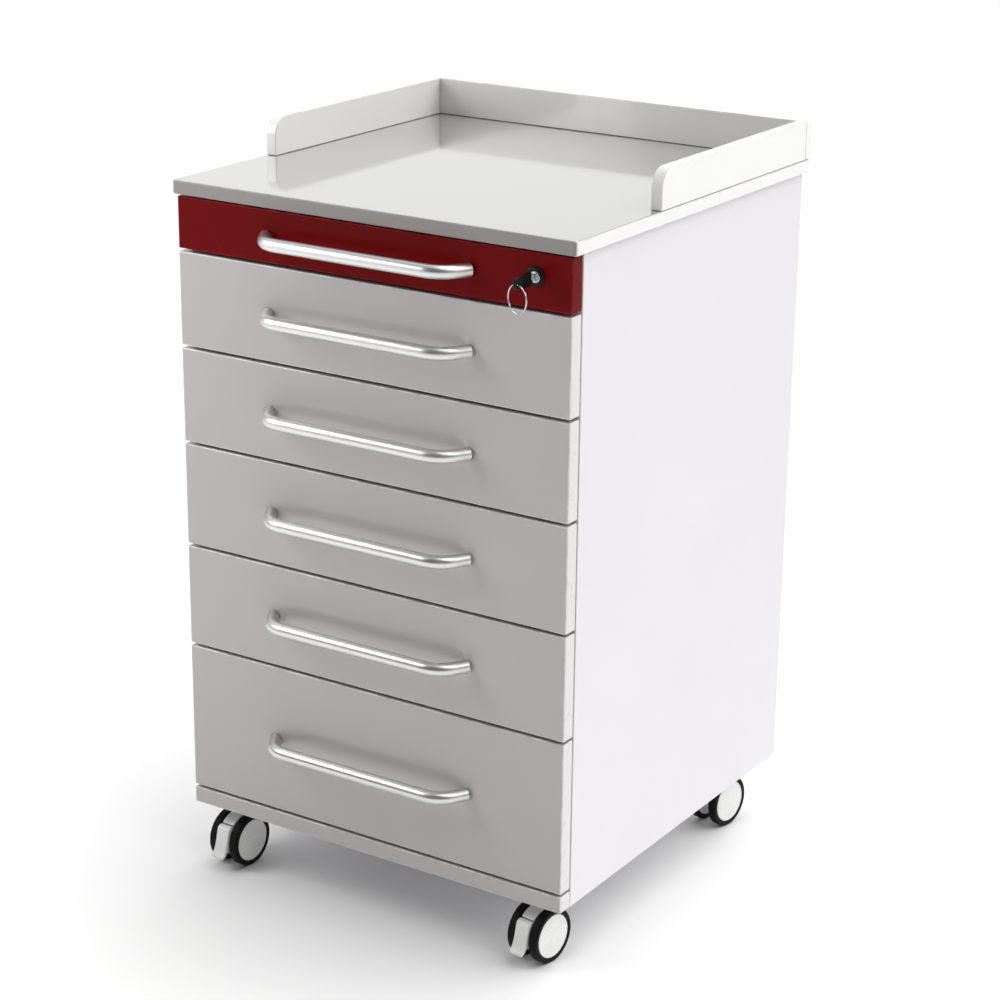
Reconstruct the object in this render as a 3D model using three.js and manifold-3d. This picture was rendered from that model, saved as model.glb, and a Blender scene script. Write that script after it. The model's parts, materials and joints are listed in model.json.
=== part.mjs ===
// Mobile instrument cart: a six-drawer cabinet on four twin-wheel swivel casters.
// Millimetres, +Z up. The drawer fronts face -Y and +X is to the right of someone facing them.
// The origin is on the floor, under the middle of the whole cart's box.
import * as THREE from 'three';
import { mergeVertices } from 'three/addons/utils/BufferGeometryUtils.js';
import Module from 'manifold-3d';

const wasm = await Module();
wasm.setup();

// Cabinet. Until the last step Y is measured back from the faces of the drawer fronts.
const WIDTH = 480;
const DEPTH = 480;
const BASE_HEIGHT = 73.5; // floor to the underside of the cabinet
const BOARD = 18; // thickness of the panels and drawer fronts
const BACK_BOARD = 12;
const TOP_RAIL_THICKNESS = 16;
const TOP_RAIL_DEPTH = 100;
const PAST = 1; // how far a cutting solid runs past the face that it opens
const GAP = 0.3; // clearance between fixed neighbours
const SEAM = 3; // gap between one drawer front and the next
const SHADOW_GAP = 1.5; // gap between the drawer fronts and the cabinet's front edges
const PLINTH_SPACE = 20; // height taken by the plinth rail and half a seam
const INSIDE = WIDTH / 2 - BOARD; // half the clear width between the side panels

// Drawers, from the top one down: space that each front takes, and how far its box stands above
// the bottom of that space.
const DRAWERS = [
  { space: 58.5, lift: 7, finish: 'red_lacquer' },
  { space: 104.5, lift: 16, finish: 'white_lacquer' },
  { space: 106, lift: 16, finish: 'white_lacquer' },
  { space: 116, lift: 16, finish: 'white_lacquer' },
  { space: 116, lift: 16, finish: 'white_lacquer' },
  { space: 170.5, lift: 17, finish: 'white_lacquer' },
];
const BOX_SIDE = 209.5; // half the width of a drawer box
const BOX_WALL = 12;
const BOX_FLOOR = 5;
const BOX_BACK = 438;
const BOX_TOP_MARGIN = 15; // from the top of a drawer's space down to its box
const TOP_BOX_MARGIN = 21; // the same under the top rail
const CARCASS_TOP = BASE_HEIGHT + PLINTH_SPACE + DRAWERS.reduce((sum, drawer) => sum + drawer.space, 0);

// Runners
const RAIL_FRONT = 24;
const RAIL_BACK = 450;
const SHEET = 2; // thickness of the runners' steel
const RAIL_BELOW = 6; // from the bottom of a drawer box down to the bottom of its rail
const RAIL_ABOVE = 15.5;
const RAIL_LIP = 211; // X of the edges of the rail's lips
const FLANGE_EDGE = 217.5; // X of the edge of the flange under a drawer box
const ROLLER_RADIUS = 6.5;
const ROLLER_INNER = 210.6;
const ROLLER_OUTER = 218.6;
const FRONT_ROLLER_Y = 34;
const RAIL_PLATE = 30; // length of the plate that carries the front roller
const REAR_ROLLER_Y = 430;
const AXLE_STUB = 2.5;
const STUB_SIDES = 8;

// Worktop
const SLAB_THICKNESS = 15;
const SLAB_SIDE = 245.5; // half its width
const SLAB_FRONT = -2.5;
const SLAB_BACK = 487;
const SLAB_EDGE = 1.5; // bevel along its edges
const SLAB_CORNER = 5; // radius of its corners seen from above
const UPSTAND_HEIGHT = 42;
const UPSTAND_THICKNESS = 13;
const UPSTAND_START = 158;
const UPSTAND_CORNER = 20;
const REBATE = 3; // depth of the step that the upstands stand in

// Handles
const HANDLE_RADIUS = 7;
const HANDLE_FOOT = 124; // half the distance between the feet
const HANDLE_BEND = 107.5; // half the length of the straight grip, to the corners of the bends
const HANDLE_REACH = 28; // from the drawer front to the grip's axis
const HANDLE_FILLET = 18; // length of each bend's tangents
const HANDLE_SIDES = 12;

// Lock and key
const LOCK_X = 199;
const LOCK_RISE = 4; // above the middle of the top drawer's front
const LOCK_COLLAR = 10;
const LOCK_BARREL = 8.1;
const LOCK_HOLE = 8.5;
const LOCK_BORE = 6.3;
const LOCK_PLUG = 6;
const LOCK_BACK = 28;
const COLLAR_FACE = -2.8; // Y of the collar's front
const PLUG_FACE = -3.4;
const KEYWAY = { halfWidth: 1.3, halfHeight: 3.1, depth: 13 };
const CAM_LENGTH = 18;
const CAM_HALF_WIDTH = 4.5;
const CAM_THICKNESS = 2;
const CAM_BOSS = 5.5; // radius of the cam's round end, on the plug
const MORTISE_X = [-7.5, 18]; // from the lock's axis
const MORTISE_Y = [LOCK_BACK - 1, LOCK_BACK + 6];
const MORTISE_ABOVE = 3; // from the end of the raised cam
const NOTCH_X = LOCK_X - 27; // the top drawer's box is notched from here to the right
const NOTCH_Y = BOARD + 18;
const KEY_HOLE_Y = -33; // where the ring passes through the head of the key in the lock
const KEY_HOLE = 3;
const KEY_THICKNESS = 3.6;
const BLADE_THICKNESS = 1.8;
const BLADE_HALF_WIDTH = 2.6;
const SHOULDER_HALF_WIDTH = 4.6;
const HEAD_TOP = 5.5; // the key's sizes run down from the hole in its head
const HEAD_BOTTOM = -22.5;
const SHOULDER = -26.5;
const BLADE_TIP = -44;
const RING_RADIUS = 14;
const WIRE = 0.9;
const WIRE_DROP = 1.2; // how far the wire lies below the middle of the hole
const RING_TURN = THREE.MathUtils.degToRad(-20);

// Casters. Each is drawn with its stem on the Z axis and its wheels trailing towards -Y.
const STEM_INSET = 40;
const STEM_FRONT = 46;
const STEM_BACK = 42;
const TRAIL = 18;
const WHEEL_RADIUS = 30;
const WHEEL_SEGMENTS = 24;
const WHEEL_INNER = 9;
const WHEEL_OUTER = 19.5;
const CAP_RADIUS = 21.8;
const AXLE_RADIUS = 3;
const AXLE_REACH = 15.4;
const STEM_RADIUS = 5;
const STEM_BORE = 5.6;
const STEM_TOP = BASE_HEIGHT + BOARD - 2;
const BODY_HALF_WIDTH = 8.2;
const BODY_RADIUS = 29.5;
const BODY_CROWN = THREE.MathUtils.degToRad(48); // where the body's arc starts, above the front of the axle
const BODY_HEEL = THREE.MathUtils.degToRad(150);
const AXLE_HUB = 10;
const FACE = [[-33.5, 36], [-33.8, 47.5]]; // the body's flat face behind the pedal, in (Y, Z)
const BOSS_RADIUS = 8;
const BOSS_BOTTOM = 50;
const PLATE_TOP_RADIUS = 15;
const PLATE_BOTTOM_RADIUS = 13;
const PLATE_THICKNESS = 6;
const SHOULDER_IN = 1; // the tyre's rounded shoulders, as one facet
const SHOULDER_ACROSS = 1.5;
const PEDAL_PIVOT = [-41, 45.5]; // in (Y, Z)
const PEDAL_KNUCKLE = 6;
const CASTERS = [
  { name: 'front_left', side: -1, y: STEM_FRONT, turn: -2, brake: true },
  { name: 'front_right', side: 1, y: STEM_FRONT, turn: -7, brake: true },
  { name: 'rear_left', side: -1, y: DEPTH - STEM_BACK, turn: -5, brake: false },
  { name: 'rear_right', side: 1, y: DEPTH - STEM_BACK, turn: -8, brake: false },
];

const FINISHES = {
  worktop: { color: 0xeeeeea, roughness: 0.25, metalness: 0 },
  white_board: { color: 0xe9e7ee, roughness: 0.4, metalness: 0 },
  white_lacquer: { color: 0xdcdad9, roughness: 0.3, metalness: 0 },
  red_lacquer: { color: 0x701014, roughness: 0.22, metalness: 0 },
  box_board: { color: 0xd8d6d2, roughness: 0.55, metalness: 0 },
  aluminium: { color: 0xd4d5d3, roughness: 0.3, metalness: 1 },
  runner_steel: { color: 0xc9c9c6, roughness: 0.4, metalness: 0.6 },
  lock_black: { color: 0x17181a, roughness: 0.4, metalness: 0 },
  bright_steel: { color: 0xbfc0c2, roughness: 0.25, metalness: 1 },
  tyre: { color: 0x141416, roughness: 0.6, metalness: 0 },
  caster_grey: { color: 0xcfcecb, roughness: 0.4, metalness: 0 },
};

/** A named mesh with a material of its own. */
function piece(name, geometry, finish) {
  const mesh = new THREE.Mesh(geometry, new THREE.MeshStandardMaterial(FINISHES[finish]));
  mesh.name = name;
  return mesh;
}

/** A box from its lowest to its highest corner. */
function block([x0, y0, z0], [x1, y1, z1]) {
  const geometry = new THREE.BoxGeometry(x1 - x0, y1 - y0, z1 - z0);
  return geometry.translate((x0 + x1) / 2, (y0 + y1) / 2, (z0 + z1) / 2);
}

/** A closed outline through [x, y] points. */
function outline(points) {
  return new THREE.Shape(points.map(([x, y]) => new THREE.Vector2(x, y)));
}

/** A rectangular outline with rounded corners, centred on the origin. */
function roundedRectangle(width, height, radius) {
  const x = width / 2;
  const y = height / 2;
  const shape = new THREE.Shape();
  shape.moveTo(-x + radius, -y);
  shape.absarc(x - radius, -y + radius, radius, -Math.PI / 2, 0);
  shape.absarc(x - radius, y - radius, radius, 0, Math.PI / 2);
  shape.absarc(-x + radius, y - radius, radius, Math.PI / 2, Math.PI);
  shape.absarc(-x + radius, -y + radius, radius, Math.PI, 1.5 * Math.PI);
  return shape;
}

/** Extrudes an outline drawn in (X, Y) upwards from z0 to z1. */
function extrudeUp(shape, z0, z1, options = {}) {
  const bevel = options.bevel ?? 0;
  const geometry = new THREE.ExtrudeGeometry(shape, {
    depth: z1 - z0 - 2 * bevel,
    bevelEnabled: bevel > 0,
    bevelThickness: bevel,
    bevelSize: bevel,
    bevelOffset: -bevel,
    bevelSegments: 1,
    curveSegments: options.curveSegments ?? 8,
  });
  return geometry.translate(0, 0, z0 + bevel);
}

/** Extrudes an outline drawn in (Y, Z) along X from x0 to x1. */
function extrudeAcross(shape, x0, x1, options = {}) {
  const upright = extrudeUp(shape, x0, x1, options);
  const turn = new THREE.Matrix4().makeBasis(
    new THREE.Vector3(0, 1, 0),
    new THREE.Vector3(0, 0, 1),
    new THREE.Vector3(1, 0, 0),
  );
  return upright.applyMatrix4(turn);
}

/** Extrudes an outline drawn in (X, Z) back along Y from y0 to y1. */
function extrudeBack(shape, y0, y1) {
  return extrudeUp(shape, -y1, -y0).rotateX(Math.PI / 2);
}

/** Turns a profile of [radius, height] points about the Z axis. */
function turned(profile, segments, start = 0) {
  const points = profile.map(([radius, height]) => new THREE.Vector2(radius, height));
  return new THREE.LatheGeometry(points, segments, start).rotateX(Math.PI / 2);
}

/** A cylinder along X from x0 to x1 about (y, z). */
function rod(x0, x1, y, z, radius, segments = 12) {
  const geometry = new THREE.CylinderGeometry(radius, radius, x1 - x0, segments);
  return geometry.rotateZ(Math.PI / 2).translate((x0 + x1) / 2, y, z);
}

/** A manifold solid from a closed geometry. */
function solid(geometry) {
  const bare = geometry.clone();
  bare.deleteAttribute('normal');
  bare.deleteAttribute('uv');
  const merged = mergeVertices(bare);
  return new wasm.Manifold(
    new wasm.Mesh({
      numProp: 3,
      vertProperties: Float32Array.from(merged.getAttribute('position').array),
      triVerts: Uint32Array.from(merged.getIndex().array),
    }),
  );
}

/** One geometry from some geometries joined and others cut away. */
function combine(joined, cut = []) {
  let result = joined.map(solid).reduce((whole, next) => whole.add(next));
  for (const tool of cut) {
    result = result.subtract(solid(tool));
  }
  const mesh = result.getMesh();
  const geometry = new THREE.BufferGeometry();
  geometry.setAttribute('position', new THREE.BufferAttribute(mesh.vertProperties, 3));
  geometry.setIndex(new THREE.BufferAttribute(mesh.triVerts, 1));
  geometry.computeVertexNormals();
  return geometry;
}

/** The path of a bent rod, with one station at each point, square to the direction given there. */
class RodPath extends THREE.Curve {
  constructor(stations) {
    super();
    this.stations = stations;
  }

  stationAt(u) {
    return this.stations[Math.round(u * (this.stations.length - 1))];
  }

  getPointAt(u) {
    return this.stationAt(u).point.clone();
  }

  getTangentAt(u) {
    return this.stationAt(u).direction.clone();
  }
}

/** The slab: a rounded plate, stepped down along the sides and back where the upstands stand. */
function slab() {
  const plate = roundedRectangle(2 * SLAB_SIDE, SLAB_BACK - SLAB_FRONT, SLAB_CORNER);
  const geometry = extrudeUp(plate, CARCASS_TOP, CARCASS_TOP + SLAB_THICKNESS, {
    bevel: SLAB_EDGE,
    curveSegments: 3,
  });
  geometry.translate(0, (SLAB_FRONT + SLAB_BACK) / 2, 0);
  const top = CARCASS_TOP + SLAB_THICKNESS;
  const inner = SLAB_SIDE - UPSTAND_THICKNESS - GAP;
  const cuts = [-1, 1].map((side) => {
    const xs = [side * inner, side * (SLAB_SIDE + PAST)].sort((a, b) => a - b);
    return block([xs[0], UPSTAND_START - GAP, top - REBATE], [xs[1], SLAB_BACK + PAST, top + PAST]);
  });
  const back = SLAB_BACK - UPSTAND_THICKNESS - GAP;
  cuts.push(block([-inner - PAST, back, top - REBATE], [inner + PAST, SLAB_BACK + PAST, top + PAST]));
  return combine([geometry], cuts);
}

/** A side upstand: a board on edge with its front top corner rounded. */
function sideUpstand(side) {
  const foot = CARCASS_TOP + SLAB_THICKNESS - REBATE + GAP;
  const top = CARCASS_TOP + SLAB_THICKNESS + UPSTAND_HEIGHT;
  const back = SLAB_BACK - UPSTAND_THICKNESS - GAP;
  const shape = new THREE.Shape();
  shape.moveTo(UPSTAND_START, foot);
  shape.lineTo(back, foot);
  shape.lineTo(back, top);
  shape.absarc(UPSTAND_START + UPSTAND_CORNER, top - UPSTAND_CORNER, UPSTAND_CORNER, Math.PI / 2, Math.PI);
  const xs = [side * (SLAB_SIDE - UPSTAND_THICKNESS), side * SLAB_SIDE].sort((a, b) => a - b);
  return extrudeAcross(shape, xs[0], xs[1], { curveSegments: 6 });
}

/** The back upstand: a plain board across the full width. */
function backUpstand() {
  const foot = CARCASS_TOP + SLAB_THICKNESS - REBATE + GAP;
  const top = CARCASS_TOP + SLAB_THICKNESS + UPSTAND_HEIGHT;
  return block([-SLAB_SIDE, SLAB_BACK - UPSTAND_THICKNESS, foot], [SLAB_SIDE, SLAB_BACK, top]);
}

function addWorktop(cart) {
  cart.add(piece('worktop_slab', slab(), 'worktop'));
  cart.add(piece('upstand_left', sideUpstand(-1), 'worktop'));
  cart.add(piece('upstand_right', sideUpstand(1), 'worktop'));
  cart.add(piece('upstand_back', backUpstand(), 'worktop'));
}

/** The base panel, bored for the stems of the four casters. */
function basePanel() {
  const front = BOARD + SHADOW_GAP;
  const panel = block(
    [-INSIDE + GAP, front, BASE_HEIGHT],
    [INSIDE - GAP, DEPTH - BACK_BOARD - GAP, BASE_HEIGHT + BOARD],
  );
  const bores = CASTERS.map(({ side, y }) => {
    const bore = upright(STEM_BORE, STEM_BORE, BASE_HEIGHT - PAST, BASE_HEIGHT + BOARD + PAST, 12);
    return bore.translate(side * (WIDTH / 2 - STEM_INSET), y, 0);
  });
  return combine([panel], bores);
}

/** The top rail, with the mortise that the lock's cam turns up into. */
function topRail(lockZ) {
  const front = BOARD + SHADOW_GAP;
  const underside = CARCASS_TOP - GAP - TOP_RAIL_THICKNESS;
  const rail = block(
    [-INSIDE + GAP, front, underside],
    [INSIDE - GAP, front + TOP_RAIL_DEPTH, CARCASS_TOP - GAP],
  );
  const mortise = block(
    [LOCK_X + MORTISE_X[0], MORTISE_Y[0], underside - PAST],
    [LOCK_X + MORTISE_X[1], MORTISE_Y[1], lockZ + CAM_LENGTH + MORTISE_ABOVE],
  );
  return combine([rail], [mortise]);
}

function addCarcass(cart, lockZ) {
  const front = BOARD + SHADOW_GAP;
  const top = CARCASS_TOP - GAP;
  for (const [name, side] of [['side_panel_left', -1], ['side_panel_right', 1]]) {
    const xs = [side * INSIDE, (side * WIDTH) / 2].sort((a, b) => a - b);
    cart.add(piece(name, block([xs[0], front, BASE_HEIGHT], [xs[1], DEPTH, top]), 'white_board'));
  }
  const back = block(
    [-INSIDE + GAP, DEPTH - BACK_BOARD, BASE_HEIGHT],
    [INSIDE - GAP, DEPTH, top],
  );
  cart.add(piece('back_panel', back, 'white_board'));
  cart.add(piece('base_panel', basePanel(), 'white_board'));
  cart.add(piece('top_rail', topRail(lockZ), 'white_board'));
  const plinth = block(
    [-WIDTH / 2, 0, BASE_HEIGHT],
    [WIDTH / 2, front - GAP, BASE_HEIGHT + PLINTH_SPACE - SEAM / 2],
  );
  cart.add(piece('plinth_rail', plinth, 'white_lacquer'));
}

/** A cabinet-side rail: a C section, open towards the drawer, with a roller at its front end. */
function runnerRail(side, boxFloor) {
  const wall = INSIDE - GAP;
  const low = boxFloor - RAIL_BELOW;
  const high = boxFloor + RAIL_ABOVE;
  const section = outline([
    [wall, low],
    [wall, high],
    [RAIL_LIP, high],
    [RAIL_LIP, high - SHEET],
    [wall - SHEET, high - SHEET],
    [wall - SHEET, low + SHEET],
    [RAIL_LIP, low + SHEET],
    [RAIL_LIP, low],
  ]);
  const channel = extrudeBack(section, FRONT_ROLLER_Y + ROLLER_RADIUS + SHEET, RAIL_BACK);
  const rollerZ = boxFloor - SHEET - GAP - ROLLER_RADIUS;
  const plate = block(
    [wall - SHEET, RAIL_FRONT, rollerZ - AXLE_STUB - PAST],
    [wall, RAIL_FRONT + RAIL_PLATE, high],
  );
  const roller = rod(ROLLER_INNER, ROLLER_OUTER, FRONT_ROLLER_Y, rollerZ, ROLLER_RADIUS);
  const axle = rod(ROLLER_OUTER - PAST, wall, FRONT_ROLLER_Y, rollerZ, AXLE_STUB, STUB_SIDES);
  const geometry = combine([channel, plate, roller, axle]);
  return side > 0 ? geometry : mirrored(geometry);
}

/** The mirror image of a geometry across X = 0, with its faces still pointing out. */
function mirrored(geometry) {
  const copy = geometry.clone().scale(-1, 1, 1);
  const index = copy.getIndex();
  for (let i = 0; i < index.count; i += 3) {
    const first = index.getX(i);
    index.setX(i, index.getX(i + 1));
    index.setX(i + 1, first);
  }
  copy.computeVertexNormals();
  return copy;
}

/** A drawer box: four walls and a floor, with a flange and a rear roller low on each side. */
function drawerBox(floor, top, hasLock) {
  const front = BOARD + GAP;
  const plan = (inset) => {
    const x = BOX_SIDE - inset;
    const [y0, y1] = [front + inset, BOX_BACK - inset];
    if (!hasLock) {
      return outline([[-x, y0], [x, y0], [x, y1], [-x, y1]]);
    }
    const corner = [NOTCH_X - inset, NOTCH_Y + inset];
    return outline([[-x, y0], [corner[0], y0], corner, [x, corner[1]], [x, y1], [-x, y1]]);
  };
  const body = extrudeUp(plan(0), floor, top);
  const hollow = extrudeUp(plan(BOX_WALL), floor + BOX_FLOOR, top + PAST);
  const rollerZ = floor - RAIL_BELOW + SHEET + GAP + ROLLER_RADIUS;
  const joined = [body];
  for (const side of [-1, 1]) {
    const spans = [side * (BOX_SIDE - PAST), side * FLANGE_EDGE].sort((a, b) => a - b);
    const flangeFront = front + SHADOW_GAP;
    const flangeBack = REAR_ROLLER_Y - ROLLER_RADIUS - SHEET;
    joined.push(block([spans[0], flangeFront, floor - SHEET], [spans[1], flangeBack, floor + PAST]));
    const stub = [side * (BOX_SIDE - PAST), side * ROLLER_OUTER].sort((a, b) => a - b);
    joined.push(rod(stub[0], stub[1], REAR_ROLLER_Y, rollerZ, AXLE_STUB, STUB_SIDES));
    const roller = [side * ROLLER_INNER, side * ROLLER_OUTER].sort((a, b) => a - b);
    joined.push(rod(roller[0], roller[1], REAR_ROLLER_Y, rollerZ, ROLLER_RADIUS));
  }
  return combine(joined, [hollow]);
}

/** A bow handle: a round rod whose two legs lean outwards to their feet on the drawer front. */
function handle() {
  const foot = new THREE.Vector3(HANDLE_FOOT, -GAP, 0);
  const corner = new THREE.Vector3(HANDLE_BEND, -HANDLE_REACH, 0);
  const outward = new THREE.Vector3(0, 1, 0);
  const alongBar = new THREE.Vector3(1, 0, 0);
  const leg = foot.clone().sub(corner).normalize();
  const bend = new THREE.QuadraticBezierCurve3(
    corner.clone().addScaledVector(alongBar, -HANDLE_FILLET),
    corner,
    corner.clone().addScaledVector(leg, HANDLE_FILLET),
  );
  const right = [0, 0.25, 0.5, 0.75, 1].map((t) => ({
    point: bend.getPoint(t),
    direction: bend.getTangent(t),
  }));
  right.push({ point: foot, direction: outward });
  const left = right.map(({ point, direction }) => ({
    point: new THREE.Vector3(-point.x, point.y, point.z),
    direction: new THREE.Vector3(direction.x, -direction.y, direction.z),
  }));
  const path = new RodPath([...left.reverse(), ...right]);
  const section = new THREE.Shape().absarc(0, 0, HANDLE_RADIUS, 0, 2 * Math.PI);
  return new THREE.ExtrudeGeometry(section, {
    steps: path.stations.length - 1,
    extrudePath: path,
    curveSegments: HANDLE_SIDES / 2,
  });
}

/** The drawers' spaces, from the top one down, with the heights of their boxes. */
function drawerLevels() {
  let top = CARCASS_TOP;
  return DRAWERS.map(({ space, lift, finish }, index) => {
    const high = top;
    const low = top - space;
    top = low;
    const margin = index === 0 ? TOP_BOX_MARGIN : BOX_TOP_MARGIN;
    return { number: index + 1, low, high, floor: low + lift, rim: high - margin, finish };
  });
}

function addDrawers(cart, levels, lockZ) {
  for (const { number, low, high, floor, rim, finish } of levels) {
    const hasLock = number === 1;
    const panel = block([-WIDTH / 2, 0, low + SEAM / 2], [WIDTH / 2, BOARD, high - SEAM / 2]);
    const hole = new THREE.CylinderGeometry(LOCK_HOLE, LOCK_HOLE, 2 * BOARD, 24);
    hole.translate(LOCK_X, BOARD / 2, lockZ);
    const front = hasLock ? combine([panel], [hole]) : panel;
    cart.add(piece(`drawer_front_${number}`, front, finish));
    cart.add(piece(`drawer_box_${number}`, drawerBox(floor, rim, hasLock), 'box_board'));
    const grip = piece(`handle_${number}`, handle(), 'aluminium');
    grip.position.set(0, 0, (low + high) / 2);
    cart.add(grip);
    for (const [name, side] of [['left', -1], ['right', 1]]) {
      cart.add(piece(`runner_${name}_${number}`, runnerRail(side, floor), 'runner_steel'));
    }
  }
}

/** The lock's housing: a collar on the drawer front and a barrel through it, bored for the plug. */
function lockHousing() {
  const profile = [
    [LOCK_BORE, COLLAR_FACE],
    [LOCK_COLLAR - 1, COLLAR_FACE],
    [LOCK_COLLAR, COLLAR_FACE + 1],
    [LOCK_COLLAR, -GAP],
    [LOCK_BARREL, -GAP],
    [LOCK_BARREL, LOCK_BACK],
    [LOCK_BORE, LOCK_BACK],
    [LOCK_BORE, COLLAR_FACE],
  ];
  return turned(profile, 24).rotateX(-Math.PI / 2);
}

/** The lock's plug, with its keyway. */
function lockPlug() {
  const back = LOCK_BACK + 1;
  const plug = new THREE.CylinderGeometry(LOCK_PLUG, LOCK_PLUG, back - PLUG_FACE, 24);
  plug.translate(0, (back + PLUG_FACE) / 2, 0);
  const { halfWidth, halfHeight, depth } = KEYWAY;
  const keyway = block([-halfWidth, PLUG_FACE - PAST, -halfHeight], [halfWidth, depth, halfHeight]);
  return combine([plug], [keyway]);
}

/** The lock's cam: a flat finger behind the plug, pointing to +X. */
function lockCam() {
  const shape = new THREE.Shape();
  shape.absarc(0, 0, CAM_BOSS, Math.PI / 2, 1.5 * Math.PI);
  shape.lineTo(CAM_LENGTH - CAM_HALF_WIDTH, -CAM_HALF_WIDTH);
  shape.absarc(CAM_LENGTH - CAM_HALF_WIDTH, 0, CAM_HALF_WIDTH, -Math.PI / 2, Math.PI / 2);
  const start = LOCK_BACK + 1 + GAP;
  return extrudeBack(shape, start, start + CAM_THICKNESS);
}

/** A key drawn hanging from the hole in its head, at the origin: a tapered head and a flat blade. */
function key() {
  const head = new THREE.Shape();
  head.moveTo(-3, HEAD_BOTTOM);
  head.lineTo(3, HEAD_BOTTOM);
  head.lineTo(6, HEAD_BOTTOM + 1.7);
  head.quadraticCurveTo(7.3, HEAD_BOTTOM + 2.5, 7, HEAD_BOTTOM + 5);
  head.lineTo(5.4, HEAD_TOP - 4);
  head.quadraticCurveTo(5, HEAD_TOP, 2, HEAD_TOP);
  head.lineTo(-2, HEAD_TOP);
  head.quadraticCurveTo(-5, HEAD_TOP, -5.4, HEAD_TOP - 4);
  head.lineTo(-7, HEAD_BOTTOM + 5);
  head.quadraticCurveTo(-7.3, HEAD_BOTTOM + 2.5, -6, HEAD_BOTTOM + 1.7);
  head.holes.push(new THREE.Path().absarc(0, 0, KEY_HOLE, 0, 2 * Math.PI, true));
  const half = KEY_THICKNESS / 2;
  const bladeOutline = outline([
    [-SHOULDER_HALF_WIDTH, HEAD_BOTTOM + PAST],
    [-SHOULDER_HALF_WIDTH, SHOULDER],
    [-BLADE_HALF_WIDTH, SHOULDER],
    [-BLADE_HALF_WIDTH, BLADE_TIP + 1.5],
    [-1, BLADE_TIP],
    [BLADE_HALF_WIDTH, BLADE_TIP + 2.5],
    [BLADE_HALF_WIDTH, SHOULDER],
    [SHOULDER_HALF_WIDTH, SHOULDER],
    [SHOULDER_HALF_WIDTH, HEAD_BOTTOM + PAST],
  ]);
  const blade = extrudeAcross(bladeOutline, -BLADE_THICKNESS / 2, BLADE_THICKNESS / 2);
  return combine([extrudeAcross(head, -half, half, { curveSegments: 3 }), blade]);
}

function addLock(cart, lockZ) {
  for (const [name, geometry, finish] of [
    ['lock_housing', lockHousing(), 'lock_black'],
    ['lock_plug', lockPlug(), 'bright_steel'],
    ['lock_cam', lockCam(), 'bright_steel'],
  ]) {
    const mesh = piece(name, geometry, finish);
    mesh.position.set(LOCK_X, 0, lockZ);
    cart.add(mesh);
  }
  const inLock = piece('key', key(), 'lock_black');
  inLock.position.set(LOCK_X, KEY_HOLE_Y, lockZ);
  inLock.rotation.x = Math.PI / 2;
  const hanging = new THREE.TorusGeometry(RING_RADIUS, WIRE, 6, 20).rotateX(Math.PI / 2);
  const ring = piece('key_ring', hanging, 'bright_steel');
  ring.position.set(LOCK_X, KEY_HOLE_Y, lockZ - WIRE_DROP - RING_RADIUS);
  ring.rotation.z = RING_TURN;
  cart.add(inLock, ring);
}

/** A caster wheel about the X axis: a tyre on a disc, capped outside, with a blind bore inside. */
function wheel() {
  const tread = WHEEL_RADIUS / Math.cos(Math.PI / WHEEL_SEGMENTS); // the flats lie at the radius
  const profile = [
    [0, AXLE_REACH + 0.6],
    [AXLE_RADIUS + GAP, AXLE_REACH + 0.6],
    [AXLE_RADIUS + GAP, WHEEL_INNER],
    [tread - SHOULDER_IN, WHEEL_INNER],
    [tread, WHEEL_INNER + SHOULDER_ACROSS],
    [tread, WHEEL_OUTER - SHOULDER_ACROSS],
    [tread - SHOULDER_IN, WHEEL_OUTER],
    [CAP_RADIUS, WHEEL_OUTER],
    [CAP_RADIUS - 1, WHEEL_OUTER - 1],
    [0, WHEEL_OUTER - 0.4],
  ];
  return turned(profile, WHEEL_SEGMENTS, Math.PI / WHEEL_SEGMENTS).rotateY(Math.PI / 2);
}

/** A cylinder or cone on the Z axis from z0 to z1. */
function upright(bottomRadius, topRadius, z0, z1, segments) {
  const geometry = new THREE.CylinderGeometry(topRadius, bottomRadius, z1 - z0, segments);
  return geometry.rotateX(Math.PI / 2).translate(0, 0, (z0 + z1) / 2);
}

/** A caster's body: a housing between the wheels, a bearing boss and plate, the stem and the axle. */
function casterBody(brake) {
  const housing = new THREE.Shape();
  const crownY = -TRAIL - BODY_RADIUS * Math.cos(BODY_CROWN);
  housing.moveTo(crownY, WHEEL_RADIUS + BODY_RADIUS * Math.sin(BODY_CROWN));
  housing.absarc(-TRAIL, WHEEL_RADIUS, BODY_RADIUS, Math.PI - BODY_CROWN, Math.PI - BODY_HEEL, true);
  housing.lineTo(-TRAIL + AXLE_HUB, WHEEL_RADIUS);
  housing.absarc(-TRAIL, WHEEL_RADIUS, AXLE_HUB, 0, -Math.PI, true);
  for (const [y, z] of FACE) {
    housing.lineTo(y, z);
  }
  const plateTop = BASE_HEIGHT - GAP;
  const plateBottom = plateTop - PLATE_THICKNESS;
  const boss = upright(BOSS_RADIUS, BOSS_RADIUS, BOSS_BOTTOM, plateTop, 16);
  const plate = upright(PLATE_BOTTOM_RADIUS, PLATE_TOP_RADIUS, plateBottom, plateTop, 20);
  const stem = upright(STEM_RADIUS, STEM_RADIUS, plateBottom, STEM_TOP, 12);
  const joined = [
    extrudeAcross(housing, -BODY_HALF_WIDTH, BODY_HALF_WIDTH, { curveSegments: 6 }),
    boss,
    plate,
    stem,
    rod(-AXLE_REACH, AXLE_REACH, -TRAIL, WHEEL_RADIUS, AXLE_RADIUS),
  ];
  if (!brake) {
    joined.push(extrudeAcross(frontCover(), -BODY_HALF_WIDTH, BODY_HALF_WIDTH, { curveSegments: 3 }));
  }
  return combine(joined);
}

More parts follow.
